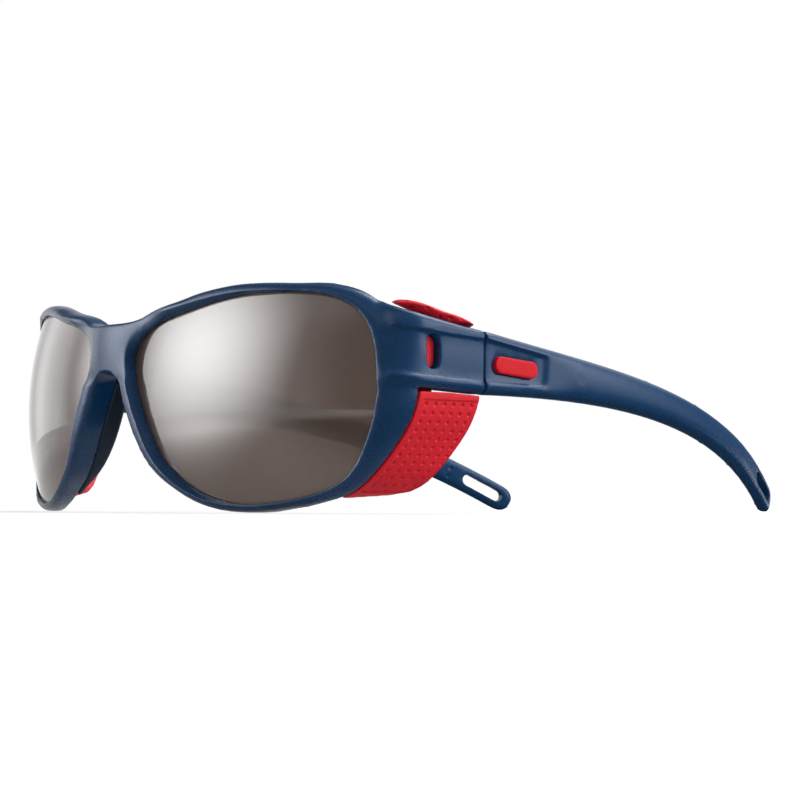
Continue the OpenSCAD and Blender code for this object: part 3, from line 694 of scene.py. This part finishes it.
for side, sign in SIDES.items():
    arm, _ = moulded(side + "_temple", side + "_temple_moulding", 0.3 * MM, 24, 2)
    points = points_of(arm.data)
    faces_out = sign * normals_of(arm.data)[:, 0]
    y, z = points[:, 1], points[:, 2]
    low = np.interp(y, *edge_line(y, z, np.min))
    high = np.interp(y, *edge_line(y, z, np.max))
    across = np.clip((2 * z - low - high) / (high - low), -1, 1)
    span = ease(y, -14 * MM, -6 * MM) * ease(y, 72 * MM, 58 * MM)
    points[:, 0] += sign * crown * (1 - across ** 2) * span * ease(faces_out, 0.3, 0.8)
    for pit_y, pit_z in pit_places:
        off = np.hypot(y - pit_y, z - pit_z) / pit_radius
        pit = np.clip(1 - off ** 2, 0, 1) * (faces_out < -0.5)
        points[:, 0] += sign * pit_depth * pit
    set_points(arm.data, np.clip(points, *cad_box))
    dress(arm, navy_plastic, side + "_temple", side + "_temple_arm")
    inlay, _ = moulded(side + "_temple_inlay", side + "_capsule_inlay", 0.14 * MM, 8, 3)
    dress(inlay, red_inlay, side + "_temple_inlay", side + "_temple_arm")
print("crowned", len(SIDES), "temples")

# %% [markdown]
# ## Lenses
# A mirror shows every facet, so the lens copy is cut finer and each point is
# put back on the ball that it was cut from. The ball's middle is found from
# the points of the lens's own front face. Smoothing would flatten the lens
# instead of giving it back its curve.

# %% Lens balls
lens_turn = math.radians(22)
face_limit = 0.6


def ball_through(points):
    """Middle and radius of the ball that the points lie on."""
    table = np.c_[2 * points, np.ones(len(points))]
    answer = np.linalg.lstsq(table, (points ** 2).sum(1), rcond=None)[0]
    centre = answer[:3]
    return Vector(centre), math.sqrt(answer[3] + centre @ centre)


def face_way(face, axis):
    """1 for the front face of a lens, -1 for its back, and 0 for its edge."""
    facing_out = face.normal.dot(axis)
    return 1 if facing_out > face_limit else -1 if facing_out < -face_limit else 0


def lens_balls(bm, axis):
    """The balls of the front and the back face."""
    balls = {}
    for way in (1, -1):
        faces = [f for f in bm.faces if face_way(f, axis) == way]
        corners = {v for f in faces for v in f.verts}
        balls[way] = ball_through(np.array([v.co[:] for v in corners], float))
    return balls


print("each lens is turned", round(math.degrees(lens_turn)), "degrees outwards")

# %% [markdown]
# ## Cutting the lenses finer
# Each face gets three cuts along every edge. The normals are set from the ball
# as well, so that the mirror is smooth and the rim of the lens stays sharp.

# %% Lenses
for side, sign in SIDES.items():
    axis = Vector((sign * math.sin(lens_turn), -math.cos(lens_turn), 0))
    bm = bmesh.new()
    bm.from_mesh(merged_copy(side + "_lens"))
    bm.normal_update()
    balls = lens_balls(bm, axis)
    bmesh.ops.subdivide_edges(bm, edges=bm.edges, cuts=3, use_grid_fill=True)
    bm.normal_update()
    normals = []
    for f in bm.faces:
        way = face_way(f, axis)
        f.smooth = way != 0
        for v in f.verts:
            if way:
                centre, radius = balls[way]
                v.co = centre + (v.co - centre).normalized() * radius
                normals.append((v.co - centre).normalized() * way)
            else:
                normals.append(f.normal.copy())
    mesh = bpy.data.meshes.new(side + "_mirror_lens")
    bm.to_mesh(mesh)
    bm.free()
    mesh.normals_split_custom_set(normals)
    lens = add_object(side + "_mirror_lens", mesh)
    dress(lens, brown_lens, side + "_lens", "front")
    print(lens.name, "ball radius", round(balls[1][1] / MM, 2), "mm")

# %% [markdown]
# ## Bend of the side shields
# Each shield is soft moulded rubber. Its upper part, the brow, curls in behind
# the rim at the front and leans out over the lug at the rear. Its lower part,
# the wing, stands out a little at its rear corner. The bends are pushes with
# soft limits, in millimetres along y and z, on a dense copy of the CAD piece.

# %% Shield bend
brow_tuck = np.array((-4.0, -0.8, 1.6)) * MM
brow_lean = np.array((2.5, 0.3, -0.1)) * MM
brow_dip = 0.35 * MM
brow_passes = 24
wing_flare = np.array((2.2, -2.0, 0)) * MM
wing_heights = (3, 24)
wing_fronts = (-62, -53)
wing_width = 17


def bent(places, links, sign):
    """The points of a shield, bent as on the real one."""
    y, z = places[:, 1] / MM, places[:, 2] / MM
    tuck = ease(y, -46.5, -54.2) * ease(z, 36.5, 39)
    lean = ease(y, -46, -36.5) * ease(z, 38.4, 39.4)
    dip = ease(y, -52, -45) * ease(y, -38, -45) * ease(z, 40, 42)
    rearward = np.clip((y - np.interp(z, wing_heights, wing_fronts)) / wing_width, 0, 1)
    flare = rearward * ease(z, 16, 5)
    bend = np.outer(tuck, brow_tuck) + np.outer(lean, brow_lean) + np.outer(flare, wing_flare)
    places = places + bend * (sign, 1, 1)
    places[:, 2] -= dip * brow_dip
    return relaxed(places, links, half_way * ease(z, 38.5, 40.5)[:, None], brow_passes)


print("brow tuck", round(np.linalg.norm(brow_tuck) / MM, 1), "mm")

# %% [markdown]
# ## Dimples of the side shields
# The wing has a plain border along the front and the top, and behind it a
# slightly sunken field with rows of small round dimples. The rows follow the
# slanted front edge, so each point is measured from that edge and from the
# top. A bump texture would look alike from afar, but pushed points also catch
# the light from the side.

# %% Shield dimples
field_depth = 0.24 * MM
front_border = 1.35 * MM
top_border = 1.45 * MM
step_width = 0.2 * MM
first_column = 2.4 * MM
first_row = 2.5 * MM
column_pitch = 2.5 * MM
row_pitch = 1.88 * MM
row_gain = 8.4
dimple_radius = 0.5 * MM
dimple_depth = 0.34 * MM
brow_start = 38.2 * MM


def dimples(along, down):
    """How deep each point lies in its nearest dimple, from 0 to 1."""
    column = (along - first_column) / column_pitch
    row = (down - first_row) / row_pitch * (1 + row_gain * (down - first_row))
    off_along = (column - np.round(column)) * column_pitch
    off_down = (row - np.round(row)) * row_pitch
    off = np.hypot(off_along, off_down) / dimple_radius
    return np.clip(1 - off * off, 0, 1) * (column > -0.5) * (row > -0.5)


def wing_sink(y, z):
    """How deep the wing's points are pressed in: field and dimples."""
    along = y - np.interp(z, *edge_line(z, y, np.min))
    behind = np.interp(z, *edge_line(z, y, np.max)) - y
    down = z.max() - z
    field = ease(along, front_border, front_border + step_width)
    field = field * ease(down, top_border, top_border + step_width)
    room = ease(behind, 0.4 * MM, 0.9 * MM)
    return field * (field_depth + dimple_depth * dimples(along, down) * room)


def brow_sink(y, z):
    """How deep the brow's points are pressed in: dimples in slanted rows."""
    up = z - brow_start
    return dimple_depth * dimples(y - y.min() + 0.5 * up, up + first_row)


print("dimples", round(2 * dimple_radius / MM, 1), "mm wide")

# %% [markdown]
# ## Side shields
# Only the faces that are seen get dimples: the outside of the wing below the
# lug, without the tab that goes into the lug's slot, and the front of the brow.

# %% Side shields
lug_underside = 25.2 * MM
tab_top = 21.5 * MM
tab_outside = 63.5 * MM
seen_way = np.array((0.75, -0.65, 0))
for side, sign in SIDES.items():
    shield, links = moulded(side + "_side_shield", side + "_dimpled_shield", 0.17 * MM, 16, 2)
    places = bent(points_of(shield.data), links, sign)
    set_points(shield.data, places)
    normals = normals_of(shield.data)
    x, y, z = sign * places[:, 0], places[:, 1], places[:, 2]
    wing = (sign * normals[:, 0] > 0.5) & (z < lug_underside)
    wing &= (x > tab_outside) | (z < tab_top)
    brow = (normals @ (seen_way * (sign, 1, 1)) > 0.35) & (z > brow_start)
    sink = np.zeros(len(places))
    sink[wing] = wing_sink(y[wing], z[wing])
    sink[brow] = brow_sink(y[brow], z[brow])
    set_points(shield.data, places - normals * sink[:, None])
    dress(shield, red_soft, side + "_side_shield", side + "_shield")
    print(shield.name, int((sink > 0.3 * MM).sum()), "points in dimples")

# %% [markdown]
# ## Nose pads
# The pads are soft wings behind the rims. Remeshing and many smoothing passes
# turn the plain solid into a rounded crescent, and a small push along the
# normals makes it full again.

# %% Nose pads
pad_swell = 0.18 * MM
for side in SIDES:
    pad, _ = moulded(side + "_nose_pad", side + "_soft_nose_pad", 0.2 * MM, 0, 16)
    set_points(pad.data, points_of(pad.data) + pad_swell * normals_of(pad.data))
    dress(pad, dark_soft, side + "_nose_pad", "front")

# %% [markdown]
# ## Hinges and wires
# The steel pieces keep their exact CAD shapes. A weld and a small bevel as
# modifiers give them the broken edges that catch light on turned parts. The
# wires lie inside the temples and only get their finish.

# %% Hinges and wires
edge_break = 0.06 * MM
edge_angle = math.radians(40)
steel_parts = ("front_leaf", "temple_leaf", "hinge_screw", "front_rivets", "temple_rivets")
for side in SIDES:
    for part in steel_parts:
        node = cad_nodes[f"{side}_{part}"]
        node.data.materials.clear()
        node.data.materials.append(hinge_steel)
        weld = node.modifiers.new("weld", "WELD")
        weld.merge_threshold = merge_distance
        broken = node.modifiers.new("broken_edges", "BEVEL")
        broken.width = edge_break
        broken.segments = 2
        broken.limit_method = "ANGLE"
        broken.angle_limit = edge_angle
    wire = cad_nodes[side + "_temple_core"]
    wire.data.materials.clear()
    wire.data.materials.append(core_wire)
print("steel pieces:", len(SIDES) * (len(steel_parts) + 1))
